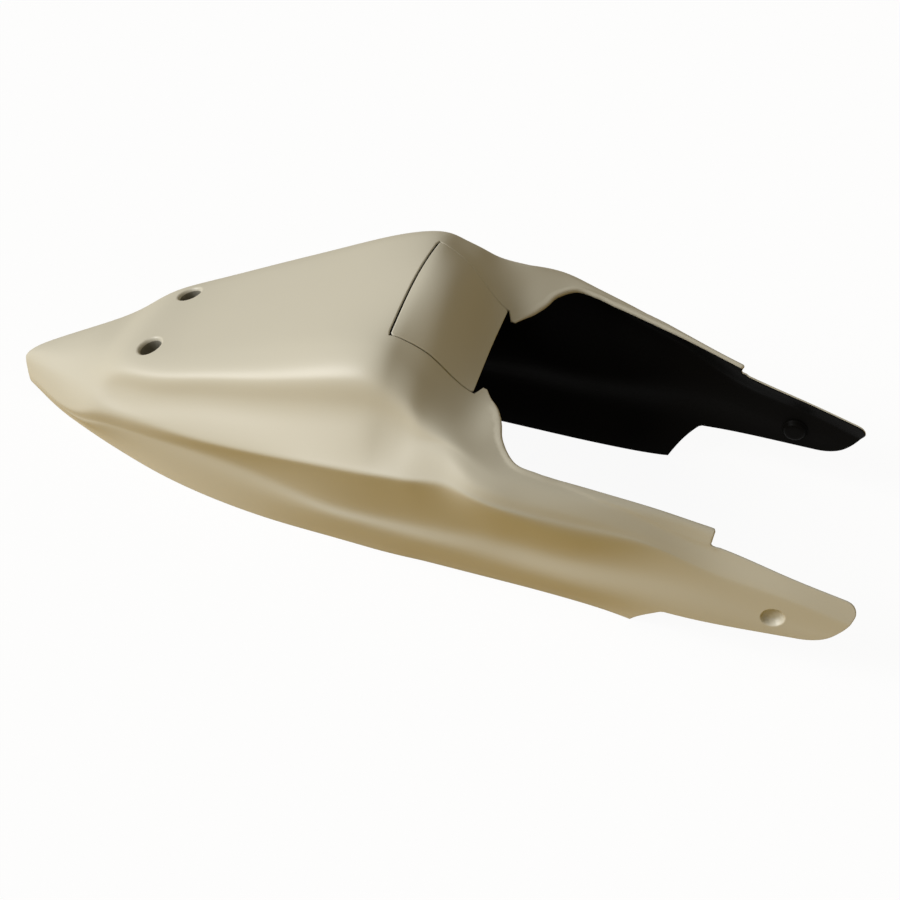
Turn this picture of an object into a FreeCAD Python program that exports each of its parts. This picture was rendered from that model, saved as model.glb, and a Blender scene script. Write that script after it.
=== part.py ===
"""Motorcycle tail fairing: a thin moulded shell and the panel set in the front of its hump.

Millimetres. +X points forward, +Y left, +Z up. The origin is on the floor plane that the lower hem
rests on, midway between the rear tip and the arm tips.
"""
import FreeCAD, Part
import os
from FreeCAD import Placement, Rotation, Vector

doc = FreeCAD.newDocument("TailFairing")
sheet = doc.addObject("Spreadsheet::Sheet", "Sizes")

# Driving sizes
SIZES = {
    "wall": 2.4,
    # panel in the front of the hump: rear edge ahead of station 11, front edge at station 15
    "panel_rear_run": 6.0,
    "panel_rear_half": 71.0,
    "panel_front_half": 60.0,
    "panel_gap": 1.5,
    "ledge_width": 10.0,
    "ledge_clearance": 0.3,
    # seat opening: runs ahead of the panel's front edge, the lip's front end behind station 21
    "nib_length": 8.0,
    "nib_width": 7.0,
    "collar_start_run": 25.0,
    "collar_start_half": 76.0,
    "collar_turn_run": 36.5,
    "collar_turn_half": 105.0,
    "collar_end_run": 52.0,
    "collar_end_half": 123.5,
    "lip_rear_run": 74.0,
    "lip_rear_half": 125.0,
    "lip_front_run": 6.0,
    "lip_front_half": 107.5,
    "seat_hole_floor": 100.0,
    # side view of the arms: the tip behind the last station, the other corners behind the tip
    "arm_tip_run": 10.0,
    "arm_tip_height": 78.0,
    "arm_top_end_run": 9.0,
    "arm_top_end_height": 89.5,
    "arm_heel_run": 23.0,
    "arm_heel_height": 42.5,
    "lip_step_height": 119.5,
    # the hem ends ahead of station 20, and the arm's lower edge starts ahead of the hem's end
    "hem_end_run": 1.0,
    "arm_root_run": 24.0,
    "arm_root_height": 36.5,
    "tip_round": 2.2,
    "heel_round": 4.0,
    "notch_round": 6.0,
    # upswept hem at the rear tip
    "kick_length": 62.0,
    "kick_rise": 6.5,
    # wells in the hump, ahead of station 6
    "well_run": 21.0,
    "well_half_spacing": 42.3,
    "well_bore": 21.0,
    "well_depth": 13.0,
    "well_wall": 2.4,
    "well_mouth": 26.0,
    "well_flare": 2.5,
    # dimples in the arms, behind station 22
    "dimple_run": 7.5,
    "dimple_height": 61.0,
    "dimple_mouth": 20.0,
    "dimple_floor": 13.0,
    "dimple_depth": 5.5,
    # how far the stock runs on below the floor, and the cores past the stock
    "stock_foot": 15.0,
    "core_overrun": 5.0,
    # how far the cutting solids reach past the finished edges
    "reach": 60.0,
}

# Table of offsets, one row per station: the bay from the station behind, the crown's height, and the
# half-breadth and height of each rail. The hem lies on the floor, so it has only a half-breadth.
RAILS = ("roof", "brow", "edge", "valley", "shelf", "crease", "flank", "scoop", "bulge")
STATIONS = [
    # bay, crown, roof, brow, edge, valley, shelf, crease, flank, scoop, bulge, hem
    (0, 36, (1.5, 36), (2.6, 35.5), (3.5, 34.2), (4.2, 31.5), (4.7, 26), (5, 18), (5, 14), (5, 11), (5, 7.5), 4.5),
    (10, 46, (4, 45.3), (6.5, 43.6), (8.4, 41.2), (10, 37.5), (11.3, 31), (12.2, 22),
     (12.3, 17.5), (12, 14.5), (11.3, 10), 9.5),
    (24, 60, (8, 59.2), (14.5, 56.3), (19.5, 52.3), (23.5, 47.5), (26.5, 39), (28.6, 28),
     (28.9, 23), (28.2, 19.5), (26.5, 13.5), 23),
    (30, 75.5, (14, 73.6), (24.5, 69.2), (32.5, 63.5), (39, 57), (44.5, 46), (47.8, 33.5),
     (48.2, 28), (46.8, 23.5), (43.8, 16.5), 37),
    (30, 90, (20, 88), (35, 82), (45.5, 75.5), (54, 68.5), (61, 58), (64.8, 47), (65, 40),
     (62.3, 31.5), (59, 21.5), 49.5),
    (26, 102, (26, 101), (45, 96.5), (56.5, 89.5), (65, 81), (71.5, 73.5), (76.3, 65), (76.8, 56),
     (73, 43.5), (69.5, 30), 59.5),
    (28, 119, (34, 118), (54, 115), (66.5, 107.5), (71.5, 95), (79, 82), (84.5, 74.5), (85, 65.5),
     (80.5, 51), (77.5, 35.5), 69.5),
    (42, 135, (42, 133.5), (62, 131.5), (79, 124.5), (84, 108.5), (92.5, 94), (97.5, 86.5),
     (97.8, 77.5), (91.5, 60), (88.5, 40), 82.5),
    (55, 160, (48, 158.5), (71, 155.5), (89.5, 147.5), (95, 130), (105, 113.5), (113.5, 100.5),
     (112.8, 90.5), (102.5, 68), (100.5, 42), 94),
    (60, 189, (55, 187), (80, 182.5), (100.5, 172), (106.5, 152), (117.5, 133.5), (128.5, 117),
     (126, 104), (111, 69), (110.5, 42), 101),
    (55, 215, (60, 212.5), (86, 207.5), (108, 195), (115, 173.5), (126.5, 153), (140.5, 133),
     (137.5, 117), (117, 63), (118, 43), 103),
    (40, 231, (65, 224.5), (90, 218.5), (111, 206), (118.5, 184.5), (130.5, 165), (146.5, 143),
     (143.5, 125), (119, 64), (120, 43), 104.5),
    (20, 235, (66.5, 220.5), (91, 213), (112, 203), (120, 184.8), (131.5, 166.5), (148.5, 147),
     (145.5, 128.8), (119.4, 65.5), (120.4, 43), 104.9),
    (18, 228.5, (66, 209.5), (91.5, 203), (114.5, 195.5), (123.2, 181.5), (133.5, 167),
     (149.8, 150.3), (146.8, 131.8), (119.7, 67), (120.7, 43), 104.6),
    (16, 209, (63, 194), (93, 189.5), (119.5, 185.5), (128.6, 176.5), (136.5, 168), (150.5, 153),
     (147.6, 134.4), (120, 68.4), (121, 43), 104),
    (24, 175, (60, 173.5), (96, 175.5), (123.5, 178.5), (132.3, 175.3), (140.3, 169.3),
     (150.8, 157), (148, 137), (120.5, 71), (121, 43), 104),
    (22, 170, (74, 171), (103, 171.5), (128.5, 172.2), (140.5, 169.2), (150.5, 163.8),
     (156.5, 155.5), (152, 137.5), (121, 74), (121, 43), 104),
    (20, 166, (97, 166.5), (115, 167.2), (134, 166.8), (145.5, 163.5), (153.5, 158.5),
     (157.5, 151), (153, 135), (121.5, 74), (121, 42), 104),
    (25, 160, (101, 160), (120, 162.5), (133.5, 162), (143, 158), (150, 152.3), (153.5, 145),
     (150.3, 129.5), (121.5, 73), (121.5, 41), 104),
    (45, 152, (92, 152), (112, 154), (126, 153.5), (135, 149), (140.8, 142.5), (143.3, 135.5),
     (142.2, 119.5), (123, 73), (123, 40), 105),
    (55, 141, (80, 141), (100, 142), (114.5, 143), (120.5, 136.5), (127.8, 127.5), (131, 122),
     (131, 113), (124.3, 77), (124.3, 40), 110),
    (55, 128, (72, 129), (94, 129), (108.5, 129), (113.5, 119), (120.3, 106.5), (123.5, 100),
     (124.3, 93), (124.3, 72), (125.2, 39), 121),
    (65, 116, (72, 115), (94, 115), (107, 113), (112, 103.5), (117.8, 92), (120.5, 86),
     (121.1, 79.5), (121.3, 60), (122.3, 38), 121.5),
    (43, 106, (72, 105), (94, 105), (106.5, 101.5), (110.4, 92.3), (115.8, 79.5), (118.3, 73.5),
     (118.9, 68), (119.3, 56), (119.9, 37), 120),
    (22, 101, (72, 100), (94, 100), (106, 95.5), (109.7, 86.8), (114.6, 73), (117, 67),
     (117.7, 61.5), (118.1, 53), (118.7, 36), 119),
]
DEGREE = 3
FAIRING_ROUNDS = 6
# the station behind the hump
HUMP_START = 5
# least half-breadth of a core, as a share of the skin's
CORE_LEAST = 0.2


def write_sheet():
    cells = list(SIZES.items())
    for number, row in enumerate(STATIONS):
        cells += [(f"bay_at_{number:02d}", row[0]), (f"crown_at_{number:02d}", row[1])]
        for rail, (breadth, height) in zip(RAILS, row[2:-1]):
            cells += [(f"{rail}_breadth_at_{number:02d}", breadth), (f"{rail}_height_at_{number:02d}", height)]
        cells.append((f"hem_breadth_at_{number:02d}", row[-1]))
    for line, (alias, value) in enumerate(cells, start=1):
        sheet.set(f"A{line}", alias)
        sheet.set(f"B{line}", str(value))
        sheet.setAlias(f"B{line}", alias)
    doc.recompute()


def size(alias):
    return float(sheet.get(alias))


def from_tip(number):
    # distance of a station from the rear tip
    return sum(size(f"bay_at_{n:02d}") for n in range(number + 1))


def length():
    return from_tip(len(STATIONS) - 1) - size("arm_tip_run")


def station(number):
    # x of a station in the part's frame, whose origin is halfway along
    return from_tip(number) - length() / 2


def station_rows():
    rows = []
    for number in range(len(STATIONS)):
        x = station(number)
        half = []
        for rail in RAILS:
            breadth = size(f"{rail}_breadth_at_{number:02d}")
            half.append(Vector(x, breadth, size(f"{rail}_height_at_{number:02d}")))
        hem = size(f"hem_breadth_at_{number:02d}")
        half += [Vector(x, hem, 0), Vector(x, hem, -size("stock_foot"))]
        right = [Vector(p.x, -p.y, p.z) for p in reversed(half)]
        rows.append(right + [Vector(x, 0, size(f"crown_at_{number:02d}"))] + half)
    return rows


def clamped_knots(count):
    spans = count - DEGREE
    return list(range(spans + 1)), [DEGREE + 1] + [1] * (spans - 1) + [DEGREE + 1]


def greville(count):
    # the parameter at which each pole pulls hardest
    knots, multiplicities = clamped_knots(count)
    flat = [k for k, m in zip(knots, multiplicities) for _ in range(m)]
    return [sum(flat[i + 1:i + 1 + DEGREE]) / DEGREE for i in range(count)]


def skin_from_poles(poles):
    long_knots, long_mults = clamped_knots(len(poles))
    cross_knots, cross_mults = clamped_knots(len(poles[0]))
    surface = Part.BSplineSurface()
    surface.buildFromPolesMultsKnots(poles, long_mults, cross_mults, long_knots, cross_knots,
                                     False, False, DEGREE, DEGREE)
    return surface


def faired_poles(rows):
    # move each pole by what the skin misses its offset, a few times, so that the skin passes through
    long_at, cross_at = greville(len(rows)), greville(len(rows[0]))
    poles = [list(row) for row in rows]
    for _ in range(FAIRING_ROUNDS):
        skin = skin_from_poles(poles)
        poles = [[poles[i][j] + rows[i][j] - skin.value(u, v) for j, v in enumerate(cross_at)]
                 for i, u in enumerate(long_at)]
    return poles


def inset_skin(poles, depth):
    # the same skin, depth further in: it starts that far from the tip and runs past the other edges
    skin = skin_from_poles(poles)
    long_at, cross_at = greville(len(poles)), greville(len(poles[0]))
    middle = len(cross_at) // 2
    flip = 1 if skin.normal(long_at[len(long_at) // 2], cross_at[middle]).z > 0 else -1
    inner = []
    for i, u in enumerate(long_at):
        row = []
        for j, v in enumerate(cross_at):
            outer = poles[i][j]
            p = outer - skin.normal(u, v) * (flip * depth)
            if i == 0:
                p.x = outer.x + depth
            if i == len(long_at) - 1:
                p.x = outer.x + size("core_overrun")
            if j in (0, len(cross_at) - 1):
                p.z = outer.z - size("core_overrun")
            if p.y * outer.y < (CORE_LEAST * outer.y) ** 2 or j == middle:
                p.y = CORE_LEAST * outer.y if j != middle else 0
            row.append(p)
        inner.append(row)
    return skin_from_poles(inner)


def solid_under(surface):
    skin = surface.toShape()
    edges = sorted(skin.Edges, key=lambda e: e.BoundBox.XLength)
    ends, feet = edges[:2], edges[2:]
    rear, front = sorted(ends, key=lambda e: e.BoundBox.Center.x)

    def chord(edge):
        return Part.makeLine(edge.Vertexes[0].Point, edge.Vertexes[-1].Point)

    caps = [Part.Face(Part.Wire([end, chord(end)])) for end in (rear, front)]
    base = Part.Face(Part.Wire(Part.__sortEdges__(feet + [chord(rear), chord(front)])))
    shell = Part.Shell([skin, base] + caps)
    shell.sewShape()
    solid = Part.Solid(shell)
    if solid.Volume < 0:
        solid.reverse()
    return solid


def feature(name, shape):
    item = doc.addObject("Part::Feature", name)
    item.Shape = shape
    return item


def plan_prism(points, low, high):
    # upright prism over one half of a plan outline and its mirror image
    outline = [Vector(x, y, low) for x, y in points] + [Vector(x, -y, low) for x, y in reversed(points) if y > 0]
    return Part.Face(Part.makePolygon(outline + outline[:1])).extrude(Vector(0, 0, high - low))


def boolean(kind, name, base, tool):
    item = doc.addObject(kind, name)
    item.Base, item.Tool = base, tool
    return item


def fuse(name, shapes):
    item = doc.addObject("Part::MultiFuse", name)
    item.Shapes = shapes
    return item


def bound(kind, name, **expressions):
    item = doc.addObject(kind, name)
    for prop, expression in expressions.items():
        item.setExpression(prop, expression)
    return item


def skin_hit(solid, start, end):
    # where a line from outside first meets the skin, and the skin's outward direction there
    chord = solid.common(Part.makeLine(start, end))
    point = min((v.Point for v in chord.Vertexes), key=lambda p: p.distanceToPoint(start))
    face = max(solid.Faces, key=lambda f: f.Area if f.Surface.TypeId == "Part::GeomBSplineSurface" else 0)
    normal = face.normalAt(*face.Surface.parameter(point))
    if normal.dot(start - end) < 0:
        normal = -normal
    return point, normal


def sunk_cup(name, stock, point, axis, outer, depth):
    # a plug of laminate under the skin, as deep as the cup and its floor
    plug = bound("Part::Cylinder", name + "_plug", Radius=outer, Height=f"{depth} + Sizes.reach / 4")
    doc.recompute()
    start = point - axis * (plug.Height.Value - size("reach") / 4)
    plug.Placement = Placement(start, Rotation(Vector(0, 0, 1), axis))
    return boolean("Part::Common", name + "_cup", plug, stock)


def panel_plan(grow, front):
    # plan outline of the panel, grown outwards at its rear and side edges
    return [
        (station(11) + size("panel_rear_run") - grow, size("panel_rear_half") + grow),
        (front, size("panel_front_half") + grow),
    ]


def seat_prism(foot, low, high):
    # the seat opening: straight at the panel and along the lips, one smooth curve round the collar
    def at(run, half):
        return Vector(foot + run, half, low)

    nib = size("panel_front_half")
    corners = [at(0, nib), at(size("nib_length"), nib), at(size("nib_length"), nib + size("nib_width"))]
    collar = corners[-1:] + [at(size(f"{name}_run"), size(f"{name}_half"))
                             for name in ("collar_start", "collar_turn", "collar_end", "lip_rear")]
    lip_front = Vector(station(21) - size("lip_front_run"), size("lip_front_half"), low)
    ahead = Vector(length() / 2 + size("reach"), lip_front.y, low)
    curve = Part.BSplineCurve()
    curve.interpolate(collar)
    half = [Part.makeLine(a, b) for a, b in zip(corners, corners[1:])] + [curve.toShape()]
    half += [Part.makeLine(collar[-1], lip_front), Part.makeLine(lip_front, ahead)]
    other = [edge.mirror(Vector(0, 0, 0), Vector(0, 1, 0)) for edge in half]
    ends = [Part.makeLine(p, Vector(p.x, -p.y, p.z)) for p in (corners[0], ahead)]
    outline = Part.Wire(Part.__sortEdges__(half + other + ends))
    return Part.Face(outline).extrude(Vector(0, 0, high - low))


def across(profile, half):
    # a side view swept through the whole breadth
    profile.translate(Vector(0, -half, 0))
    return profile.extrude(Vector(0, 2 * half, 0))


def arm_profile(hem_end, high):
    # side view of all that stays ahead of the hem: the lip's step, the arm, its rounded end, the notch
    def arc(start, end, sagitta):
        side = (end - start).cross(Vector(0, 1, 0)).normalize()
        return Part.Arc(start, (start + end) / 2 + side * sagitta, end).toShape()

    tip = Vector(length() / 2, 0, size("arm_tip_height"))
    top_end = Vector(tip.x - size("arm_top_end_run"), 0, size("arm_top_end_height"))
    heel = Vector(tip.x - size("arm_heel_run"), 0, size("arm_heel_height"))
    root = Vector(hem_end.x + size("arm_root_run"), 0, size("arm_root_height"))
    step = Vector(station(21) - size("lip_front_run"), 0, size("lip_step_height"))
    behind, low = hem_end.x - 1, -2 * size("reach")
    rest = [hem_end, Vector(hem_end.x, 0, low), Vector(behind, 0, low), Vector(behind, 0, high),
            Vector(step.x, 0, high), step, top_end]
    edges = [arc(top_end, tip, size("tip_round")), arc(tip, heel, size("heel_round")),
             Part.makeLine(heel, root), arc(root, hem_end, -size("notch_round"))]
    edges += [Part.makeLine(a, b) for a, b in zip(rest, rest[1:])]
    return Part.Face(Part.Wire(edges))


def kick_profile(low):
    # side view of what is taken off below the upswept hem at the rear tip
    rear = station(0)
    slope = size("kick_rise") / size("kick_length")
    end = rear + size("kick_length")
    corners = [Vector(end, 0, 0), Vector(rear - size("reach"), 0, slope * (size("kick_length") + size("reach"))),
               Vector(rear - size("reach"), 0, low), Vector(end, 0, low)]
    return Part.Face(Part.makePolygon(corners + corners[:1]))


write_sheet()
offsets = station_rows()
poles = faired_poles(offsets)
reach = size("reach")
wall = size("wall")
top = max(row[len(row) // 2].z for row in offsets) + reach
print("skin:", len(poles), "stations by", len(poles[0]), "rails")

# Stock: the solid under the outer skin and the cores set in from it
stock = feature("outer_stock", solid_under(skin_from_poles(poles)))
core = feature("wall_core", solid_under(inset_skin(poles, wall)))
# the ledge's cores follow the skin from behind the hump on, well behind the panel
hump_poles = poles[HUMP_START:]
seat_core = feature("seat_core", solid_under(inset_skin(hump_poles, wall + size("ledge_clearance"))))
ledge_core = feature("ledge_core", solid_under(inset_skin(hump_poles, 2 * wall + size("ledge_clearance"))))
ledge_skin = feature("ledge_skin", solid_under(inset_skin(hump_poles, wall / 2)))

# Tools
front = station(15)
hem_end = Vector(station(20) + size("hem_end_run"), 0, 0)
ledge = size("ledge_width")
panel_hole = feature("panel_hole", plan_prism(panel_plan(0, front + reach / 4), 0, top))
panel_blank = feature("panel_blank", plan_prism(panel_plan(-size("panel_gap"), front), 0, top))
ledge_outside = plan_prism(panel_plan(ledge, front), 0, top)
ledge_inside = plan_prism(panel_plan(-ledge, front + reach / 4), 0, top)
ledge_ring = feature("ledge_ring", ledge_outside.cut(ledge_inside))
seat_hole = feature("seat_hole", seat_prism(front, size("seat_hole_floor"), top))
arms_kept = feature("arms_kept", across(arm_profile(hem_end, top), top))
tail_kick = feature("tail_kick", across(kick_profile(-reach), top))
ahead_of_hem = bound("Part::Box", "ahead_of_hem", Length="8 * Sizes.reach", Width="8 * Sizes.reach",
                     Height="8 * Sizes.reach")
ahead_of_hem.Placement.Base = Vector(hem_end.x, -4 * reach, -3 * reach)
below_floor = bound("Part::Box", "below_floor", Length="20 * Sizes.reach", Width="8 * Sizes.reach",
                    Height="3 * Sizes.reach")
below_floor.Placement.Base = Vector(-10 * reach, -4 * reach, -3 * reach)

# Wells in the hump and dimples in the arms, one of each on either side
cups = []
mouths = []
for side, hand in (("left", 1), ("right", -1)):
    x, y = station(6) + size("well_run"), hand * size("well_half_spacing")
    point, axis = skin_hit(stock.Shape, Vector(x, y, top), Vector(x, y, 0))
    cups.append(sunk_cup(f"{side}_well", stock, point, axis, "Sizes.well_bore / 2 + Sizes.well_wall",
                         "Sizes.well_depth + Sizes.well_wall"))
    bore = bound("Part::Cylinder", f"{side}_well_bore", Radius="Sizes.well_bore / 2",
                 Height="Sizes.well_depth + Sizes.reach / 4")
    bore.Placement = Placement(point - axis * size("well_depth"), Rotation(Vector(0, 0, 1), axis))
    flare = bound("Part::Cone", f"{side}_well_flare", Radius1="Sizes.well_bore / 2",
                  Radius2="Sizes.well_mouth - Sizes.well_bore / 2", Height="2 * Sizes.well_flare")
    flare.Placement = Placement(point - axis * size("well_flare"), Rotation(Vector(0, 0, 1), axis))
    mouths += [bore, flare]
    print(f"{side} well: mouth {point}, axis {axis}")

    x, z = station(22) - size("dimple_run"), size("dimple_height")
    point, axis = skin_hit(stock.Shape, Vector(x, hand * top, z), Vector(x, 0, z))
    cups.append(sunk_cup(f"{side}_dimple", stock, point, axis, "Sizes.dimple_mouth / 2 + Sizes.wall",
                         "Sizes.dimple_depth + Sizes.wall"))
    dish = bound("Part::Cone", f"{side}_dimple_dish", Radius1="Sizes.dimple_floor / 2",
                 Radius2="Sizes.dimple_mouth - Sizes.dimple_floor / 2", Height="2 * Sizes.dimple_depth")
    dish.Placement = Placement(point - axis * size("dimple_depth"), Rotation(Vector(0, 0, 1), axis))
    mouths.append(dish)
    print(f"{side} dimple: mouth {point}, axis {axis}")

# Shell: the wall, the ledge under the panel's seams and the cups, less every opening
bare_shell = boolean("Part::Cut", "bare_shell", stock, core)
ledge_layer = boolean("Part::Cut", "ledge_layer", ledge_skin, ledge_core)
ledge_step = boolean("Part::Common", "ledge_step", ledge_layer, ledge_ring)
moulding = fuse("moulding", [bare_shell, ledge_step] + cups)
panel_seat = boolean("Part::Cut", "panel_seat", panel_hole, seat_core)
front_waste = boolean("Part::Cut", "front_waste", ahead_of_hem, arms_kept)
openings = fuse("openings", [panel_seat, seat_hole, front_waste, below_floor, tail_kick] + mouths)
tail_shell = boolean("Part::Cut", "tail_shell", moulding, openings)

# Panel: the same wall inside its outline, one gap smaller than its hole
hump_panel = boolean("Part::Common", "hump_panel", bare_shell, panel_blank)

doc.recompute()
for item in doc.Objects:
    if "Invalid" in item.State or "Error" in item.State:
        raise RuntimeError(f"{item.Label} failed to build")
os.makedirs("parts", exist_ok=True)
for node in (tail_shell, hump_panel):
    shape = node.Shape
    if shape.isNull() or not shape.isValid() or len(shape.Solids) != 1:
        raise RuntimeError(f"{node.Label} is not one valid solid: {len(shape.Solids)} solids")
    shape.Solids[0].exportStep(f"parts/{node.Label}.step")
    box = shape.BoundBox
    print(f"{node.Label}: {shape.Volume / 1000:.1f} cm3, x {box.XMin:.1f} to {box.XMax:.1f},",
          f"y {box.YMin:.1f} to {box.YMax:.1f}, z {box.ZMin:.1f} to {box.ZMax:.1f}")
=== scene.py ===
import math
import bpy
import numpy as np
from mathutils import Matrix, Vector


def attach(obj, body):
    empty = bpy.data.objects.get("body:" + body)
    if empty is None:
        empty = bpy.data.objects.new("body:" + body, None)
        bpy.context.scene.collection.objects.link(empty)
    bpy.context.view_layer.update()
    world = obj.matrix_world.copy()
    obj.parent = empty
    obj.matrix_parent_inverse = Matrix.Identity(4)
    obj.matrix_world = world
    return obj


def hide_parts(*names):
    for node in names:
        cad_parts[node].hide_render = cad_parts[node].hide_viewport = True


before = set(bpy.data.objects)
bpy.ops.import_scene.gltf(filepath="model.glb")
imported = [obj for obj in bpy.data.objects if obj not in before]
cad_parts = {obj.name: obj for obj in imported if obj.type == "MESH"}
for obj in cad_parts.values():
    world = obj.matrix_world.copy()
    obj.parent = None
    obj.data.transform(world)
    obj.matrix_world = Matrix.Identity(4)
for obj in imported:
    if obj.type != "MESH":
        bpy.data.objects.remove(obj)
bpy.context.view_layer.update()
print("frame loaded:", ", ".join(sorted(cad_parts)))

# Skin of the moulding, in millimetres from the rear tip: the same offsets as the CAD skin
skinLines = {
    "midLength": 410.0,  # rear tip to the origin
    "foot": 15.0,        # the skin runs on this far below the floor, to be trimmed
    "fairing": 6,        # rounds that pull the skin through its offsets
    "noseRound": 4.0,    # length over which the rear tip is rounded off in plan
    "noseDrop": 1.5,     # how far the top of the tip is eased down
    "tipHeight": 36.0,   # height at which the whole of that drop is taken
    "lookup": 4001,      # steps of the table from x to the skin's own coordinate
    "mouthLookup": 2001,  # steps in which a mouth's place is sought round the skin
    # bay from the station before, and crown; then breadth and height of roof, brow, edge, valley,
    # shelf, crease, flank, scoop and bulge; then the breadth of the hem
    "stations": [
        (0, 36, (1.5, 36), (2.6, 35.5), (3.5, 34.2), (4.2, 31.5), (4.7, 26), (5, 18), (5, 14),
         (5, 11), (5, 7.5), 4.5),
        (10, 46, (4, 45.3), (6.5, 43.6), (8.4, 41.2), (10, 37.5), (11.3, 31), (12.2, 22),
         (12.3, 17.5), (12, 14.5), (11.3, 10), 9.5),
        (24, 60, (8, 59.2), (14.5, 56.3), (19.5, 52.3), (23.5, 47.5), (26.5, 39), (28.6, 28),
         (28.9, 23), (28.2, 19.5), (26.5, 13.5), 23),
        (30, 75.5, (14, 73.6), (24.5, 69.2), (32.5, 63.5), (39, 57), (44.5, 46), (47.8, 33.5),
         (48.2, 28), (46.8, 23.5), (43.8, 16.5), 37),
        (30, 90, (20, 88), (35, 82), (45.5, 75.5), (54, 68.5), (61, 58), (64.8, 47), (65, 40),
         (62.3, 31.5), (59, 21.5), 49.5),
        (26, 102, (26, 101), (45, 96.5), (56.5, 89.5), (65, 81), (71.5, 73.5), (76.3, 65), (76.8, 56),
         (73, 43.5), (69.5, 30), 59.5),
        (28, 119, (34, 118), (54, 115), (66.5, 107.5), (71.5, 95), (79, 82), (84.5, 74.5), (85, 65.5),
         (80.5, 51), (77.5, 35.5), 69.5),
        (42, 135, (42, 133.5), (62, 131.5), (79, 124.5), (84, 108.5), (92.5, 94), (97.5, 86.5),
         (97.8, 77.5), (91.5, 60), (88.5, 40), 82.5),
        (55, 160, (48, 158.5), (71, 155.5), (89.5, 147.5), (95, 130), (105, 113.5), (113.5, 100.5),
         (112.8, 90.5), (102.5, 68), (100.5, 42), 94),
        (60, 189, (55, 187), (80, 182.5), (100.5, 172), (106.5, 152), (117.5, 133.5), (128.5, 117),
         (126, 104), (111, 69), (110.5, 42), 101),
        (55, 215, (60, 212.5), (86, 207.5), (108, 195), (115, 173.5), (126.5, 153), (140.5, 133),
         (137.5, 117), (117, 63), (118, 43), 103),
        (40, 231, (65, 224.5), (90, 218.5), (111, 206), (118.5, 184.5), (130.5, 165), (146.5, 143),
         (143.5, 125), (119, 64), (120, 43), 104.5),
        (20, 235, (66.5, 220.5), (91, 213), (112, 203), (120, 184.8), (131.5, 166.5), (148.5, 147),
         (145.5, 128.8), (119.4, 65.5), (120.4, 43), 104.9),
        (18, 228.5, (66, 209.5), (91.5, 203), (114.5, 195.5), (123.2, 181.5), (133.5, 167),
         (149.8, 150.3), (146.8, 131.8), (119.7, 67), (120.7, 43), 104.6),
        (16, 209, (63, 194), (93, 189.5), (119.5, 185.5), (128.6, 176.5), (136.5, 168), (150.5, 153),
         (147.6, 134.4), (120, 68.4), (121, 43), 104),
        (24, 175, (60, 173.5), (96, 175.5), (123.5, 178.5), (132.3, 175.3), (140.3, 169.3),
         (150.8, 157), (148, 137), (120.5, 71), (121, 43), 104),
        (22, 170, (74, 171), (103, 171.5), (128.5, 172.2), (140.5, 169.2), (150.5, 163.8),
         (156.5, 155.5), (152, 137.5), (121, 74), (121, 43), 104),
        (20, 166, (97, 166.5), (115, 167.2), (134, 166.8), (145.5, 163.5), (153.5, 158.5),
         (157.5, 151), (153, 135), (121.5, 74), (121, 42), 104),
        (25, 160, (101, 160), (120, 162.5), (133.5, 162), (143, 158), (150, 152.3), (153.5, 145),
         (150.3, 129.5), (121.5, 73), (121.5, 41), 104),
        (45, 152, (92, 152), (112, 154), (126, 153.5), (135, 149), (140.8, 142.5), (143.3, 135.5),
         (142.2, 119.5), (123, 73), (123, 40), 105),
        (55, 141, (80, 141), (100, 142), (114.5, 143), (120.5, 136.5), (127.8, 127.5), (131, 122),
         (131, 113), (124.3, 77), (124.3, 40), 110),
        (55, 128, (72, 129), (94, 129), (108.5, 129), (113.5, 119), (120.3, 106.5), (123.5, 100),
         (124.3, 93), (124.3, 72), (125.2, 39), 121),
        (65, 116, (72, 115), (94, 115), (107, 113), (112, 103.5), (117.8, 92), (120.5, 86),
         (121.1, 79.5), (121.3, 60), (122.3, 38), 121.5),
        (43, 106, (72, 105), (94, 105), (106.5, 101.5), (110.4, 92.3), (115.8, 79.5), (118.3, 73.5),
         (118.9, 68), (119.3, 56), (119.9, 37), 120),
        (22, 101, (72, 100), (94, 100), (106, 95.5), (109.7, 86.8), (114.6, 73), (117, 67),
         (117.7, 61.5), (118.1, 53), (118.7, 36), 119),
    ],
}


def knotsFor(count):
    return np.concatenate([[0] * 3, np.arange(count - 2), [count - 3] * 3]).astype(float)


def splineBasis(count, at):
    knots = knotsFor(count)
    at = np.clip(at, 0, count - 3 - 1e-9)[:, None]
    basis = ((at >= knots[:-1]) & (at < knots[1:])).astype(float)
    for degree in (1, 2, 3):
        left = np.maximum(knots[degree:-1] - knots[:-degree - 1], 1e-9)
        right = np.maximum(knots[degree + 1:] - knots[1:-degree], 1e-9)
        rise, fall = (at - knots[:-degree - 1]) / left, (knots[degree + 1:] - at) / right
        basis = rise * basis[:, :-1] + fall * basis[:, 1:]
    return basis


def pullAt(count):
    knots = knotsFor(count)
    return (knots[1:-3] + knots[2:-2] + knots[3:-1]) / 3  # where each pole pulls hardest


def fairedPoles():
    rows, x = [], 0.0
    for bay, crown, *rails, hem in skinLines["stations"]:
        x += bay
        half = rails + [(hem, 0), (hem, -skinLines["foot"])]
        right = [(x, -b, z) for b, z in reversed(half)]
        left = [(x, b, z) for b, z in half]
        rows.append(right + [(x, 0, crown)] + left)
    offsets = np.array(rows, float)
    along, across = (splineBasis(n, pullAt(n)) for n in offsets.shape[:2])
    poles = offsets.copy()
    for _ in range(skinLines["fairing"]):
        poles += offsets - np.einsum("ai,ijc,bj->abc", along, poles, across)
    return poles


skinPoles = fairedPoles()
uCount, vCount = skinPoles.shape[:2]
crownAt = (vCount - 3) / 2
uTable = np.linspace(0, uCount - 3, skinLines["lookup"])
xTable = splineBasis(uCount, uTable) @ skinPoles[:, 0, 0]


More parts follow.
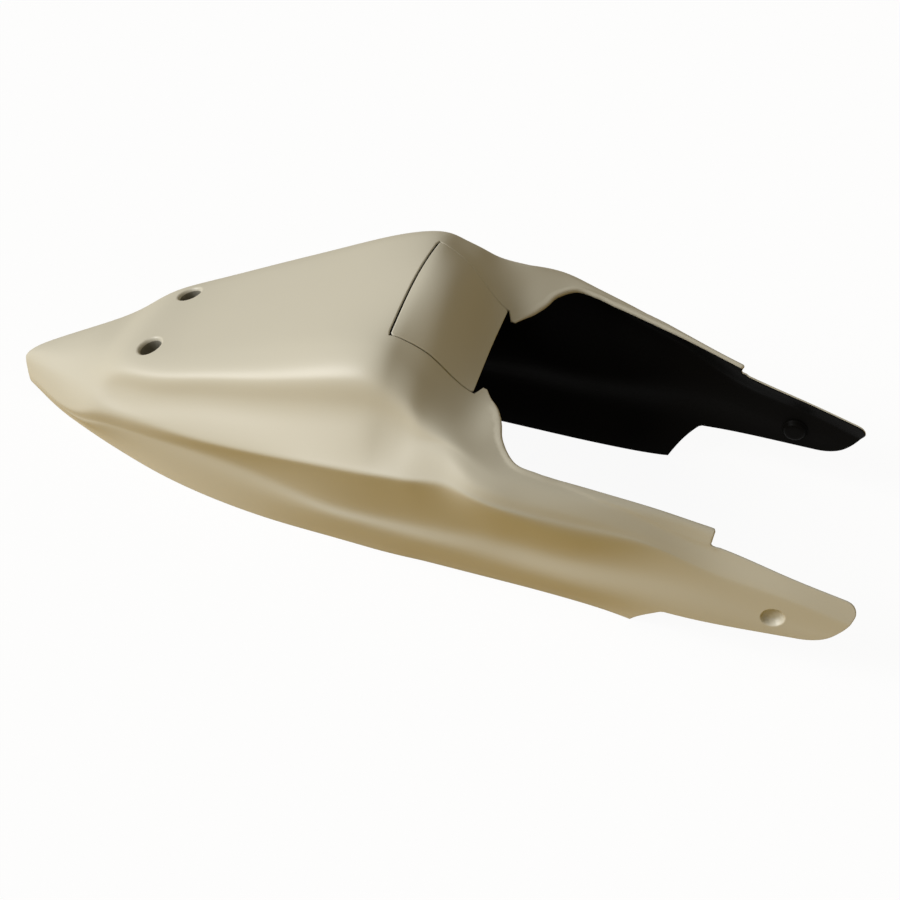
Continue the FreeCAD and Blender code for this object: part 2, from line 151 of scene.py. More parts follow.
def onSkin(uv):
    along, across = splineBasis(uCount, uv[:, 0]), splineBasis(vCount, uv[:, 1])
    point = np.einsum("njc,nj->nc", np.einsum("ni,ijc->njc", along, skinPoles), across)
    short = np.clip(1 - point[:, 0] / skinLines["noseRound"], 0, 1)
    point[:, 1] *= np.sqrt(np.maximum(1 - short ** 2, 0))
    point[:, 2] -= skinLines["noseDrop"] * short ** 2 * np.clip(point[:, 2] / skinLines["tipHeight"], 0, 1)
    return point


def skinNormal(uv):
    step = 1e-3
    du = onSkin(uv + [step, 0]) - onSkin(np.maximum(uv - [step, 0], 0))
    dv = onSkin(uv + [0, step]) - onSkin(np.maximum(uv - [0, step], 0))
    normal = np.cross(du, dv)
    return normal / np.maximum(np.linalg.norm(normal, axis=1, keepdims=True), 1e-12)


def spread(*runs):
    stops = [np.linspace(a, b, n, endpoint=False) for a, b, n in runs]
    return np.concatenate(stops + [[runs[-1][1]]])


trimForm = {
    "snapShare": 0.3,  # a corner within this share of its edge moves onto the line
    "halvings": 14,    # how finely the line is found along an edge
}


class Sheet:
    # a patch of the skin that is trimmed to outlines: uv of each corner, and faces as index lists

    def __init__(self, xs, vs):
        us = np.interp(xs, xTable, uTable)
        self.uv = np.array([(u, v) for u in us for v in vs])
        width = len(vs)
        self.faces = [(i * width + j, (i + 1) * width + j, (i + 1) * width + j + 1, i * width + j + 1)
                      for i in range(len(us) - 1) for j in range(width - 1)]
        if xs[0] == 0:  # the rear tip is one line: its left and right corners are the same
            twin = {width - 1 - j: j for j in range(width // 2)}
            self.faces = [tuple(twin.get(c, c) for c in face) for face in self.faces]

    def trim(self, field):
        # keeps the part where the field is positive, with new corners on the line where it is zero
        value = field(onSkin(self.uv))
        sides = [side for face in self.faces for side in zip(face, face[1:] + face[:1])]
        edges = {(min(a, b), max(a, b)) for a, b in sides if (value[a] > 0) != (value[b] > 0)}
        if not edges:
            self.faces = [face for face in self.faces if value[face[0]] > 0]
            return self
        edges = np.array(sorted(edges))
        share = self.rootShare(field, edges, value)
        # a corner close to the line moves onto it, which leaves no sliver beside it
        best = {}
        for (a, b), s in zip(edges, share):
            for corner, other, part in ((a, b, s), (b, a, 1 - s)):
                if part < trimForm["snapShare"] and part < best.get(corner, (1, 0))[0]:
                    best[corner] = (part, other)
        old = self.uv.copy()
        for corner, (part, other) in best.items():
            self.uv[corner] = old[corner] + part * (old[other] - old[corner])
            value[corner] = 0
        edges = np.array([e for e in edges if value[e[0]] * value[e[1]] < 0])
        made = {}
        if len(edges):
            share = self.rootShare(field, edges, value)[:, None]
            fresh = self.uv[edges[:, 0]] * (1 - share) + self.uv[edges[:, 1]] * share
            made = {tuple(e): len(self.uv) + n for n, e in enumerate(edges)}
            self.uv = np.vstack([self.uv, fresh])
        kept = []
        for face in self.faces:
            signs = [value[c] for c in face]
            if min(signs) >= 0:
                if max(signs) > 0:
                    kept.append(face)
            elif max(signs) > 0:
                ring = []
                for a, b in zip(face, face[1:] + face[:1]):
                    if value[a] >= 0:
                        ring.append(a)
                    if value[a] * value[b] < 0:
                        ring.append(made[min(a, b), max(a, b)])
                if len(ring) > 2:
                    kept.append(tuple(ring))
        self.faces = kept
        return self

    def rootShare(self, field, edges, value):
        start, end = self.uv[edges[:, 0]], self.uv[edges[:, 1]]
        low, high = np.zeros(len(edges)), np.ones(len(edges))
        rising = value[edges[:, 1]] > value[edges[:, 0]]
        for _ in range(trimForm["halvings"]):
            mid = (low + high) / 2
            above = (field(onSkin(start + mid[:, None] * (end - start))) > 0) == rising
            high, low = np.where(above, mid, high), np.where(above, low, mid)
        return (low + high) / 2

    def compact(self):
        self.faces = [tuple(dict.fromkeys(face)) for face in self.faces]
        self.faces = [face for face in self.faces if len(face) > 2]
        used = sorted({c for face in self.faces for c in face})
        place = {c: n for n, c in enumerate(used)}
        self.uv = self.uv[used]
        self.faces = [tuple(place[c] for c in face) for face in self.faces]
        return self

    def rims(self):
        # closed loops of free edges, in the direction of the faces beside them
        edges = [(a, b) for face in self.faces for a, b in zip(face, face[1:] + face[:1])]
        both = set(edges)
        after = {a: b for a, b in edges if (b, a) not in both}
        loops = []
        while after:
            start, at = next(iter(after.items()))
            del after[start]
            loop = [start]
            while at != start:
                loop.append(at)
                at = after.pop(at)
            loops.append(loop)
        return loops


def insideOf(outline):
    # signed distance to a closed flat outline, positive inside
    start = np.array(outline, float)
    run = np.roll(start, -1, axis=0) - start

    def distance(at):
        best, odd = np.full(len(at), 1e9), np.zeros(len(at), bool)
        for (sx, sy), (rx, ry) in zip(start, run):
            dx, dy = at[:, 0] - sx, at[:, 1] - sy
            part = np.clip((dx * rx + dy * ry) / max(rx * rx + ry * ry, 1e-12), 0, 1)
            best = np.minimum(best, np.hypot(dx - part * rx, dy - part * ry))
            if ry:
                odd ^= ((dy >= 0) != (dy - ry >= 0)) & (dx < dy * rx / ry)
        return np.where(odd, best, -best)
    return distance


def throughPoints(points, steps):
    # smooth line through the points
    p = np.array(points, float)
    p = np.vstack([2 * p[0] - p[1], p, 2 * p[-1] - p[-2]])
    line = []
    for a, b, c, d in zip(p, p[1:], p[2:], p[3:]):
        for t in np.linspace(0, 1, steps, endpoint=False):
            line.append(0.5 * (2 * b + (c - a) * t + (2 * a - 5 * b + 4 * c - d) * t * t
                               + (3 * b - a - 3 * c + d) * t ** 3))
    return [tuple(q) for q in line] + [tuple(p[-2])]


def bowed(start, end, sagitta, steps=12):
    # shallow arc between two points, bulging to the left of the way
    start, end = np.array(start, float), np.array(end, float)
    way = end - start
    side = np.array([-way[1], way[0]]) / np.linalg.norm(way)
    return [tuple(start + way * t + side * sagitta * 4 * t * (1 - t)) for t in np.linspace(0, 1, steps)]


def rounded(start, corner, end, reach=0.12, steps=8):
    # turn from the start into the way to the end, of which it takes up a small part
    start, corner, end = (np.array(p, float) for p in (start, corner, end))
    end = corner + reach * (end - corner)
    return [tuple((1 - t) ** 2 * start + 2 * t * (1 - t) * corner + t * t * end)
            for t in np.linspace(0, 1, steps)]


def ease(low, high, value):
    t = np.clip((value - low) / (high - low), 0, 1)
    return t * t * (3 - 2 * t)


print(f"skin: {uCount} stations by {vCount} rails")

# Outlines that trim the skin
shellForm = {
    "wall": 2.4,
    "noseWall": 0.25, "noseRun": 30.0,  # share of the wall at the rear tip, and length that adds a whole
    "bead": 1.3,  # the opening's edge is thicker by twice this
    "beadReach": 9.0, "beadStart": (486, 500), "beadFade": 15.0,
    "kickLength": 62.0, "kickRise": 6.5,
    "stopFoot": 478.0, "stopHalf": 60.0, "footGap": 1.5,
    # edge of the opening from the nib at the panel's corner, round the collar
    "collar": [(480.5, 56), (482, 50.5), (484.5, 47.5), (487.5, 49), (490.5, 54.5), (494.5, 61),
               (499, 67), (503.5, 74.5), (508.5, 86), (514.5, 104.5), (530, 123.5), (552, 125)],
    "collarSteps": 6,
    "lipFront": (694.0, 107.5),
    "openingFloor": 100.0,
    "panelRear": 406.0, "panelRearHalf": 71.0,
    "stepHeight": 119.5,
    "topEnd": (811.0, 89.5), "tip": (820.0, 78.0), "heel": (797.0, 42.5), "root": (670.0, 36.5),
    "hemEnd": 646.0, "tipBow": 2.2, "heelBow": 4.0, "notchBow": 2.0,
    "heelFrom": 8,  # step of the tip's arc at which the heel's turn begins
    "clearFront": 900.0, "clearTop": 400.0, "clearRear": -100.0, "clearFloor": -100.0,  # past the part
    # joggle of the lip: how far its line lies from the opening's edge, by x
    "lipLine": [(535, 1.5), (568, 4), (600, 7.5), (694, 7.5)],
    "lipRise": 1.1, "lipStart": (535, 590), "lipEnd": 700.0, "lipBlend": 0.7, "lipFacets": 2.5,
    # roll along the edge of the collar
    "rollRise": 1.2, "rollWidth": 6.0, "rollFlat": 0.3, "rollStart": (490, 502), "rollEnd": (545, 590),
}
f = shellForm
farAway = 1e3  # millimetres, for points that a line doesn't concern
lipEndX, lipEndY = f["lipFront"]
halfSeat = ([(f["stopFoot"], f["stopHalf"])] + throughPoints(f["collar"], f["collarSteps"])
            + [(lipEndX, lipEndY), (f["clearFront"], lipEndY)])
mirrored = [(x, -y) for x, y in reversed(halfSeat)]
seatInside = insideOf(halfSeat + mirrored)
panelInside = insideOf([(f["panelRear"], -f["panelRearHalf"]), (f["panelRear"], f["panelRearHalf"]),
                        (f["stopFoot"] + f["footGap"], f["stopHalf"]),
                        (f["stopFoot"] + f["footGap"], -f["stopHalf"])])
tipArc = bowed(f["tip"], f["heel"], f["heelBow"])
heelTurn = rounded(tipArc[f["heelFrom"]], f["heel"], f["root"])
armInside = insideOf([(f["clearRear"], f["clearTop"]), (lipEndX, f["clearTop"]), (lipEndX, f["stepHeight"])]
                     + bowed(f["topEnd"], f["tip"], f["tipBow"]) + tipArc[:f["heelFrom"]] + heelTurn
                     + bowed(f["root"], (f["hemEnd"], 0), -f["notchBow"])
                     + [(f["hemEnd"], f["clearFloor"]), (f["clearRear"], f["clearFloor"])])


def openingField(inset):
    def field(p):
        hole = np.maximum(seatInside(p[:, :2]), panelInside(p[:, :2]))
        return np.maximum(-hole - inset, f["openingFloor"] - p[:, 2])
    return field


def armField(inset):
    return lambda p: armInside(p[:, [0, 2]]) - inset


def hemField(inset):
    slope = f["kickRise"] / f["kickLength"]
    return lambda p: p[:, 2] - inset - np.maximum(0, (f["kickLength"] - p[:, 0]) * slope)


def mouthOnSkin(x, axis, value):
    # place on the left half of the skin with this x and this breadth or height, and the normal there
    vs = np.linspace(crownAt, vCount - 4, skinLines["mouthLookup"])
    uv = np.column_stack([np.full(len(vs), np.interp(x, xTable, uTable)), vs])
    nearest = uv[[np.abs(onSkin(uv)[:, axis] - value).argmin()]]
    return onSkin(nearest)[0], skinNormal(nearest)[0]


# Sunk wells in the deck and dimples in the arms: radius and depth, from the mouth to the floor's middle
wellForm = {
    "seat": mouthOnSkin(x=169.0, axis=1, value=42.3), "reach": 40.0,
    "flareRows": 5,  # the skin's own curve fades out across these
    "paintedShadeFrom": 5,   # row below which the well's wall and floor are painted with shade
    "profile": [(14.2, 0), (13.4, 0.12), (12.6, 0.5), (11.9, 1.2), (11.3, 2.2), (10.85, 3.4), (10.6, 5),
                (10.5, 8), (10.5, 11), (10.2, 12.2), (9.4, 12.8), (8, 13), (4, 13)],
}
dimpleForm = {
    "seat": mouthOnSkin(x=757.5, axis=2, value=61.0), "reach": 12.0,
    "flareRows": 5, "paintedShadeFrom": None,
    "profile": [(10.6, 0), (10.1, 0.12), (9.6, 0.5), (9.1, 1.2), (8.5, 2.4), (7.8, 3.7), (7.0, 4.7),
                (6.0, 5.25), (4.5, 5.45), (2.2, 5.5)],
}


def cupFrame(form, hand):
    middle, axis = form["seat"]
    flip = np.array([1, hand, 1])
    return middle * flip, axis * flip


def mouthField(form, hand):
    middle, axis = cupFrame(form, hand)

    def field(p):
        arm = p - middle
        height = arm @ axis
        away = np.linalg.norm(arm - height[:, None] * axis, axis=1)
        return np.where(np.abs(height) < form["reach"], away - form["profile"][0][0], farAway)
    return field


# the third slot holds painted shade for the deep part of the wells
paintSlot = {"outside": 0, "inside": 1, "paintedShade": 2}  # order of a piece's finishes
bothFaces = (paintSlot["outside"], paintSlot["inside"])
blackFaces = (paintSlot["inside"], paintSlot["inside"])


class Shape:
    # collects corners, their normals and faces of one piece, in millimetres from the rear tip

    def __init__(self):
        self.points, self.normals, self.faces, self.paint = [], [], [], []
        self.count = 0

    def add(self, points, normals):
        first = self.count
        self.points.append(np.asarray(points, float))
        self.normals.append(np.asarray(normals, float))
        self.count += len(points)
        return first

    def face(self, corners, paint):
        self.faces.append(tuple(int(c) for c in corners))
        self.paint.append(paint)

    def bridge(self, lower, upper, paint):
        # strip between two rings of the same length
        for n in range(len(lower)):
            m = (n + 1) % len(lower)
            self.face((lower[m], lower[n], upper[n], upper[m]), paint)

    def piece(self, name, materials):
        points = np.vstack(self.points)
        normals = np.vstack(self.normals)
        points = (points - [skinLines["midLength"], 0, 0]) / 1000
        mesh = bpy.data.meshes.new(name)
        mesh.from_pydata(points.tolist(), [], self.faces)
        for material in materials:
            mesh.materials.append(material)
        mesh.polygons.foreach_set("material_index", self.paint)
        mesh.polygons.foreach_set("use_smooth", [True] * len(self.faces))
        mesh.update()
        own = np.zeros(len(points) * 3)
        mesh.vertices.foreach_get("normal", own)
        own = own.reshape(-1, 3)
        unset = np.linalg.norm(normals, axis=1) < 0.5
        normals[unset] = own[unset]
        mesh.normals_split_custom_set_from_vertices(normals.tolist())
        obj = bpy.data.objects.new(name, mesh)
        bpy.context.scene.collection.objects.link(obj)
        return obj


rimForm = {
    "steps": 7,
    "blackFrom": 2.2,   # turn from the outer face, in radians, past which the rim is black
    "mouthSlack": 1.0,  # a rim this near to a cup's mouth belongs to it
}


def halfRoundRim(shape, outer, inner, loop, points, normals, radius, paints):
    # rounds a free edge off from the outer face to the inner one; the last strips take the inner paint
    ring = points[loop]
    way = np.roll(ring, -1, axis=0) - np.roll(ring, 1, axis=0)
    normal = normals[loop]
    out = np.cross(way, normal)
    out /= np.maximum(np.linalg.norm(out, axis=1, keepdims=True), 1e-9)
    size = radius[loop][:, None]
    rows = [[outer + c for c in loop]]
    turns = np.linspace(0, math.pi, rimForm["steps"])
    for turn in turns[1:-1]:
        facing = math.cos(turn) * normal + math.sin(turn) * out
        first = shape.add(ring - size * normal + size * facing, facing)
        rows.append(range(first, first + len(loop)))
    rows.append([inner + c for c in loop])
    for n, (low, high) in enumerate(zip(rows, rows[1:])):
        shape.bridge(low, high, paints[0] if turns[n + 1] < rimForm["blackFrom"] else paints[1])


def sunkCup(shape, form, hand, outer, inner, loop, points, wall, paints):
    # lines a hole in the skin with a sunk cup, and backs it with a second skin inside
    middle, axis = cupFrame(form, hand)
    for first, sign, grow, paint in ((outer, 1, 0.0, paints[0]), (inner, -1, wall, paints[1])):
        arm = points[loop] - middle
        height = arm @ axis
        flat = arm - height[:, None] * axis
        flat /= np.linalg.norm(flat, axis=1, keepdims=True)
        rows = [[first + c for c in loop]]
        for n, (radius, depth) in enumerate(form["profile"][1:], start=1):
            fade = max(0.0, 1 - n / form["flareRows"])
            at = middle + (radius + grow) * flat + (height * fade - depth - grow)[:, None] * axis
            start = shape.add(at, np.zeros_like(at))
            rows.append(range(start, start + len(loop)))
        floor = middle - axis * (form["profile"][-1][1] + grow)
        hub = shape.add([floor], [axis * sign])
        # a well's outer cup is painted with shade from that row down: its deep wall and floor are darkened
        dustyAndShaded = sign > 0 and form["paintedShadeFrom"] is not None
        deep = paintSlot["paintedShade"] if dustyAndShaded else paint
        for n, (low, high) in enumerate(zip(rows, rows[1:])):
            lower, upper = (low, high) if sign > 0 else (high, low)
            shape.bridge(lower, upper, deep if dustyAndShaded and n >= form["paintedShadeFrom"] else paint)
        last = rows[-1]
        for n in range(len(last)):
            m = (n + 1) % len(last)
            shape.face((last[m], last[n], hub) if sign > 0 else (last[n], last[m], hub), deep)


def laminate(shape, sheet, thickness, paints, cups=(), shift=None, ownNormals=None):
    # outer and inner face of a trimmed sheet, its rounded edges and its cups
    points, normals = onSkin(sheet.uv), skinNormal(sheet.uv)
    if shift is not None:
        points = points + normals * shift(points)[:, None]
    wall = thickness(points)
    facing = normals if ownNormals is None else np.where(ownNormals(points)[:, None], 0, normals)
    outer = shape.add(points, facing)
    back = points - normals * wall[:, None]
    back[:, 0] = np.maximum(back[:, 0], 0)  # the rear tip stays the end of the part
    inner = shape.add(back, -normals)
    for face in sheet.faces:
        shape.face([outer + c for c in face], paints[0])
        shape.face([inner + c for c in reversed(face)], paints[1])
    for loop in sheet.rims():
        for form, hand in cups:
            middle, axis = cupFrame(form, hand)
            arm = points[loop] - middle
            away = np.linalg.norm(arm - (arm @ axis)[:, None] * axis, axis=1)
            if away.max() < form["profile"][0][0] + rimForm["mouthSlack"]:
                sunkCup(shape, form, hand, outer, inner, loop, points, float(wall[loop].mean()), paints)
                break
        else:
            halfRoundRim(shape, outer, inner, loop, points, normals, wall / 2, paints)


# Shader nodes as expressions
class Wire:
    # a socket of a material: arithmetic adds Math nodes, and add() makes any other node

    def __init__(self, tree, socket=None):
        self.tree, self.socket = tree, socket

    def add(self, kind, settings=None, sockets=None, output=0):
        node = self.tree.nodes.new(kind)
        for name, value in (settings or {}).items():
            setattr(node, name, value)
        for name, value in (sockets or {}).items():
            if isinstance(value, Wire):
                self.tree.links.new(value.socket, node.inputs[name])
            else:
                node.inputs[name].default_value = value
        return Wire(self.tree, node.outputs[output] if node.outputs else None)

    def other(self, output):
        # another output of the same node
        return Wire(self.tree, self.socket.node.outputs[output])

    def maths(self, operation, first, second):
        return self.add("ShaderNodeMath", {"operation": operation}, {0: first, 1: second})

    def __add__(self, other):
        return self.maths("ADD", self, other)

    def __radd__(self, other):
        return self.maths("ADD", other, self)

    def __sub__(self, other):
        return self.maths("SUBTRACT", self, other)

    def __rsub__(self, other):
        return self.maths("SUBTRACT", other, self)

    def __mul__(self, other):
        return self.maths("MULTIPLY", self, other)

    def __rmul__(self, other):
        return self.maths("MULTIPLY", other, self)


def newMaterial(name):
    material = bpy.data.materials.new(name)
    material.use_nodes = True
    material.node_tree.nodes.clear()
    return material, Wire(material.node_tree)


def blendColours(wire, factor, first, second):
    return wire.add("ShaderNodeMix", {"data_type": "RGBA"}, {0: factor, 6: first, 7: second}, 2)


def speckle(wire, scale, detail, distortion=0.0):
    # noise in the piece's own coordinates
    place = wire.add("ShaderNodeTexCoord", output=3)
    return wire.add("ShaderNodeTexNoise", sockets={
        "Vector": place, "Scale": scale, "Detail": detail, "Distortion": distortion})


bumpDepth = 0.001  # metres


def bumped(wire, height, strength):
    return wire.add("ShaderNodeBump", sockets={
        "Height": height, "Strength": strength, "Distance": bumpDepth})


gelcoatFinish = {
    "ivory": (0.56, 0.545, 0.47, 1), "warmer": (0.545, 0.525, 0.445, 1),
    "patchScale": 9.0, "patchDetail": 3.0, "peelScale": 420.0, "peelDetail": 2.0, "peelHeight": 0.03,
    "roughness": 0.42, "roughnessSwing": 0.06, "sheen": 0.05,
}


def makeGelcoat():
    finish = gelcoatFinish
    material, wire = newMaterial("ivoryGelcoat")
    patch = speckle(wire, finish["patchScale"], finish["patchDetail"])
    peel = speckle(wire, finish["peelScale"], finish["peelDetail"])
    colour = blendColours(wire, patch, finish["ivory"], finish["warmer"])
    bump = bumped(wire, peel, finish["peelHeight"])
    rough = finish["roughness"] + (patch - 0.5) * finish["roughnessSwing"]
    body = wire.add("ShaderNodeBsdfPrincipled", sockets={
        "Base Color": colour, "Roughness": rough, "Normal": bump, "Specular IOR Level": 0.0})
    sheen = wire.add("ShaderNodeBsdfGlossy", sockets={"Roughness": rough, "Normal": bump})
    shader = wire.add("ShaderNodeMixShader", sockets={0: finish["sheen"], 1: body, 2: sheen})
    wire.add("ShaderNodeOutputMaterial", sockets={"Surface": shader})
    return material


insideFinish = {
    "black": (0.0015, 0.0013, 0.001, 1), "dustyAndShaded": (0.003, 0.0026, 0.002, 1),
    "cloudScale": 14.0, "cloudDetail": 4.0,
    "strandScale": 70.0, "strandDetail": 6.0, "strandTwist": 1.6, "strandHeight": 0.25,
    "roughness": 0.5, "roughnessSwing": 0.3, "gloss": 0.03,
}


def makeInside():
    finish = insideFinish
    material, wire = newMaterial("blackInside")
    cloud = speckle(wire, finish["cloudScale"], finish["cloudDetail"])
    strand = speckle(wire, finish["strandScale"], finish["strandDetail"], finish["strandTwist"])
    colour = blendColours(wire, cloud, finish["black"], finish["dustyAndShaded"])
    rough = finish["roughness"] + (cloud - 0.5) * finish["roughnessSwing"]
    shader = wire.add("ShaderNodeBsdfPrincipled", sockets={
        "Base Color": colour, "Roughness": rough, "Specular IOR Level": finish["gloss"],
        "Normal": bumped(wire, strand, finish["strandHeight"])})
    wire.add("ShaderNodeOutputMaterial", sockets={"Surface": shader})
    return material


# painted shade for the deep part of the wells: a dark grey-brown with a fine grain
paintedShadeFinish = {
    "brown": (0.17, 0.163, 0.135, 1), "grey": (0.24, 0.232, 0.2, 1),
    "grainScale": 260.0, "grainDetail": 3.0, "roughness": 0.75, "gloss": 0.1,
}


def makePaintedShade():
    # painted shade that darkens the deep walls and floor of the wells
    finish = paintedShadeFinish
    material, wire = newMaterial("wellPaintedShade")
    grain = speckle(wire, finish["grainScale"], finish["grainDetail"])
    shader = wire.add("ShaderNodeBsdfPrincipled", sockets={
        "Base Color": blendColours(wire, grain, finish["brown"], finish["grey"]),
        "Roughness": finish["roughness"], "Specular IOR Level": finish["gloss"]})
    wire.add("ShaderNodeOutputMaterial", sockets={"Surface": shader})
    return material


gelcoat, blackInside, wellPaintedShade = makeGelcoat(), makeInside(), makePaintedShade()
print("finishes made")


# Shell
def fromLipLine(points):
    # distance outwards from the line of the joggle; the flank below the opening is far from it
    run, width = np.array(f["lipLine"]).T
    away = -seatInside(points[:, :2]) - np.interp(points[:, 0], run, width)
    concerned = (points[:, 2] > f["openingFloor"]) & (points[:, 0] < f["lipEnd"])
    return np.where(concerned, away, farAway)


def onRoll(points):
    # one at the edge of the collar, falling to zero across the roll
    x, away = points[:, 0], -seatInside(points[:, :2])
    along = ease(*f["rollStart"], x) * (1 - ease(*f["rollEnd"], x)) * (points[:, 2] > f["openingFloor"])
    return along * (1 - ease(f["rollWidth"] * f["rollFlat"], f["rollWidth"], away))


def lipShift(points):
    # the lip inside its line stands up by a small joggle, which turns into the collar's roll
    inside = 1 - ease(-f["lipBlend"], f["lipBlend"], fromLipLine(points))
    joggle = f["lipRise"] * inside * ease(*f["lipStart"], points[:, 0])
    return np.maximum(joggle, f["rollRise"] * onRoll(points))


def onJoggle(points):
    # where the skin's own normal no longer fits
    nearLine = np.abs(fromLipLine(points)) < f["lipFacets"]
    return nearLine & (points[:, 0] > f["lipStart"][0]) | (onRoll(points) > 0)


def shellWall(points):
    hole = -seatInside(points[:, :2])
    nearEdge = 1 - ease(0, f["beadReach"], hole)
    above = ease(f["openingFloor"], f["openingFloor"] + f["beadFade"], points[:, 2])
    onLip = ease(*f["beadStart"], points[:, 0]) * above
    nose = np.clip(f["noseWall"] + points[:, 0] / f["noseRun"], 0, 1)
    return (f["wall"] + 2 * f["bead"] * nearEdge * onLip) * nose


# where the shell's mesh has its rows: from, to and how many
shellRows = {
    "tip": [0, 0.06, 0.25, 0.6, 1.1, 1.8, 2.8],
    "length": [(4, 40, 16), (40, 380, 96), (380, 560, 76), (560, 830, 80)],
    "girth": [(0, 6.6, 48), (6.6, 7.8, 18), (7.8, 12.2, 30), (12.2, 13.4, 18), (13.4, 20, 48)],
}
lengthRows = np.concatenate([shellRows["tip"], spread(*shellRows["length"])])
shellSheet = Sheet(lengthRows, spread(*shellRows["girth"]))
halfWall = f["wall"] / 2
shellSheet.trim(hemField(halfWall)).trim(openingField(halfWall)).trim(armField(halfWall))
cups = [(form, hand) for form in (wellForm, dimpleForm) for hand in (1, -1)]
for form, hand in cups:
    shellSheet.trim(mouthField(form, hand))
shellSheet.compact()
shell = Shape()
laminate(shell, shellSheet, shellWall, bothFaces, cups, lipShift, onJoggle)

# Ledge under the panel's seams, joggled down from the shell's wall
ledgeForm = {
    "width": 10.0, "floor": 150.0, "frontGap": 0.5,
    "within": 1.6, "under": 2.7, "bottom": 5.1,  # depths below the skin: in the wall, under the panel, back
    "joggle": (-1.5, 0.5),  # where it steps down, from the seam inwards
    "length": (392, 480, 44), "girth": 1.8, "girthRows": 60,
}


def ledgeField(p):
    band = ledgeForm["width"] - np.abs(panelInside(p[:, :2]))
    behindFoot = f["stopFoot"] - ledgeForm["frontGap"] - p[:, 0]
    return np.minimum(np.minimum(band, behindFoot), p[:, 2] - ledgeForm["floor"])


def roundCrown(form):
    # rows across the crown, to the same girth on both sides
    return spread((crownAt - form["girth"], crownAt + form["girth"], form["girthRows"]))


ledgeSheet = Sheet(spread(ledgeForm["length"]), roundCrown(ledgeForm))
ledgeSheet.trim(ledgeField).compact()


def ledgeTop(points):
    stepped = ease(*ledgeForm["joggle"], panelInside(points[:, :2]))
    return -ledgeForm["within"] - (ledgeForm["under"] - ledgeForm["within"]) * stepped


def ledgeWall(points):
    return np.full(len(points), ledgeForm["bottom"] - ledgeForm["under"])


laminate(shell, ledgeSheet, ledgeWall, blackFaces, (), ledgeTop)
# the third finish is the painted shade inside the wells
tailShell = shell.piece("tailShell", [gelcoat, blackInside, wellPaintedShade])
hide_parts("tail_shell")
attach(tailShell, "root")
print("tail shell:", len(tailShell.data.polygons), "faces")

# Panel in the front of the hump
panelForm = {
    "rearGap": 1.7, "sideGap": 0.5, "floor": 150.0,
    "length": (400, 484, 52), "girth": 2.2, "girthRows": 84,
}
rear, foot = f["panelRear"] + panelForm["rearGap"], f["stopFoot"]
rearHalf, footHalf = f["panelRearHalf"] - panelForm["sideGap"], f["stopHalf"] - panelForm["sideGap"]
panelShape = insideOf([(rear, -rearHalf), (rear, rearHalf), (foot, footHalf), (foot, -footHalf)])


def panelField(p):
    return np.minimum(panelShape(p[:, :2]) - halfWall, p[:, 2] - panelForm["floor"])


def panelWall(points):
    return np.full(len(points), f["wall"])


panelSheet = Sheet(spread(panelForm["length"]), roundCrown(panelForm))
panelSheet.trim(panelField).compact()
panel = Shape()
laminate(panel, panelSheet, panelWall, bothFaces)
humpPanel = panel.piece("humpPanel", [gelcoat, blackInside])
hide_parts("hump_panel")
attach(humpPanel, "root")
print("hump panel:", len(humpPanel.data.polygons), "faces")

# Floor, light and camera
studio = {
    "floorHalf": 6.0, "floorDrop": 0.0005,
    "floorSeen": (1, 1, 1, 1), "floorShade": 0.06, "floorBounce": (0.66, 0.44, 0.04, 1),
    "keyFrom": (-0.80, -0.33, 0.50), "keyStrength": 3.1, "keyAngle": 34.0,
    "keyColour": (1.0, 0.995, 0.98),
    "surround": (0.235, 0.19, 0.11, 1),
}


def seenDirectly(wire):
    # one for rays that show the background, zero for those that light the part
    path = wire.add("ShaderNodeLightPath")
    return path.other("Is Camera Ray") + path.other("Is Glossy Ray") + path.other("Is Transmission Ray")


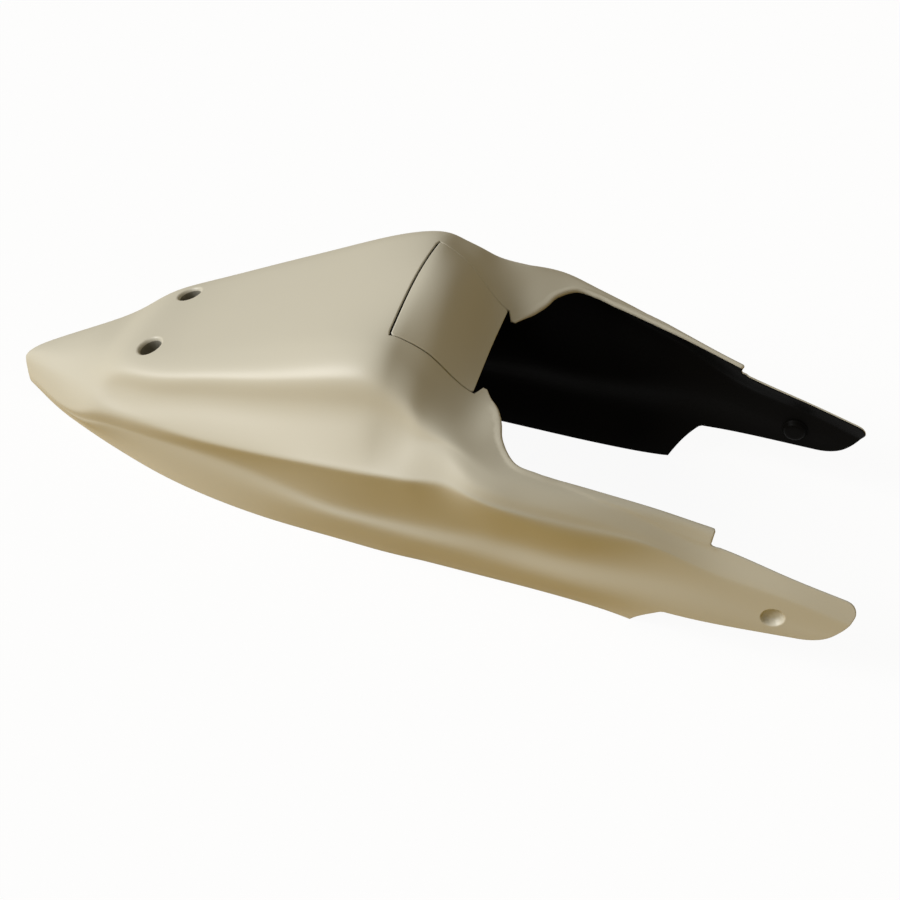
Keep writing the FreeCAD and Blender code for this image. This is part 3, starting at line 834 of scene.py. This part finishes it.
def makeFloor():
    half = studio["floorHalf"]
    mesh = bpy.data.meshes.new("studioFloor")
    corners = [(-half, -half, 0), (half, -half, 0), (half, half, 0), (-half, half, 0)]
    mesh.from_pydata(corners, [], [(0, 1, 2, 3)])
    floor = bpy.data.objects.new("studioFloor", mesh)
    bpy.context.scene.collection.objects.link(floor)
    floor.location.z = -studio["floorDrop"]
    material, wire = newMaterial("paleFloor")
    seen = seenDirectly(wire)
    glow = wire.add("ShaderNodeEmission", sockets={"Color": studio["floorSeen"], "Strength": 1.0})
    shaded = wire.add("ShaderNodeBsdfDiffuse", sockets={"Color": studio["floorSeen"]})
    white = wire.add("ShaderNodeMixShader", sockets={0: studio["floorShade"], 1: glow, 2: shaded})
    warm = wire.add("ShaderNodeBsdfDiffuse", sockets={"Color": studio["floorBounce"]})
    mixed = wire.add("ShaderNodeMixShader", sockets={0: seen, 1: warm, 2: white})
    wire.add("ShaderNodeOutputMaterial", sockets={"Surface": mixed})
    mesh.materials.append(material)


def makeLight():
    sun = bpy.data.lights.new("softKey", "SUN")
    sun.energy, sun.color = studio["keyStrength"], studio["keyColour"]
    sun.angle = math.radians(studio["keyAngle"])
    lamp = bpy.data.objects.new("softKey", sun)
    lamp.rotation_mode = "QUATERNION"
    lamp.rotation_quaternion = Vector(studio["keyFrom"]).to_track_quat("Z", "Y")
    bpy.context.scene.collection.objects.link(lamp)
    world = bpy.data.worlds.new("studioSurround")
    bpy.context.scene.world = world
    world.use_nodes = True
    world.node_tree.nodes.clear()
    wire = Wire(world.node_tree)
    backdrop = wire.add("ShaderNodeBackground", sockets={"Color": studio["floorSeen"], "Strength": 1.0})
    glow = wire.add("ShaderNodeBackground", sockets={"Color": studio["surround"], "Strength": 1.0})
    sky = wire.add("ShaderNodeMixShader", sockets={0: seenDirectly(wire), 1: glow, 2: backdrop})
    wire.add("ShaderNodeOutputWorld", sockets={"Surface": sky})


viewForm = {
    "place": (0.2277, -0.7994, 0.8254), "right": (0.9589, 0.2789, 0.0513),
    "up": (-0.2284, 0.6524, 0.7226), "lens": 48.0, "sensor": 36.0,
}


def makeCamera():
    data = bpy.data.cameras.new("photoView")
    data.lens, data.sensor_width = viewForm["lens"], viewForm["sensor"]
    camera = bpy.data.objects.new("photoView", data)
    bpy.context.scene.collection.objects.link(camera)
    right, up = Vector(viewForm["right"]).normalized(), Vector(viewForm["up"])
    up = (up - up.dot(right) * right).normalized()
    turn = Matrix((right, up, right.cross(up))).transposed().to_4x4()
    camera.matrix_world = Matrix.Translation(viewForm["place"]) @ turn
    bpy.context.scene.camera = camera


makeFloor()
makeLight()
makeCamera()
bpy.context.scene.view_settings.view_transform = "Standard"
print("studio ready")
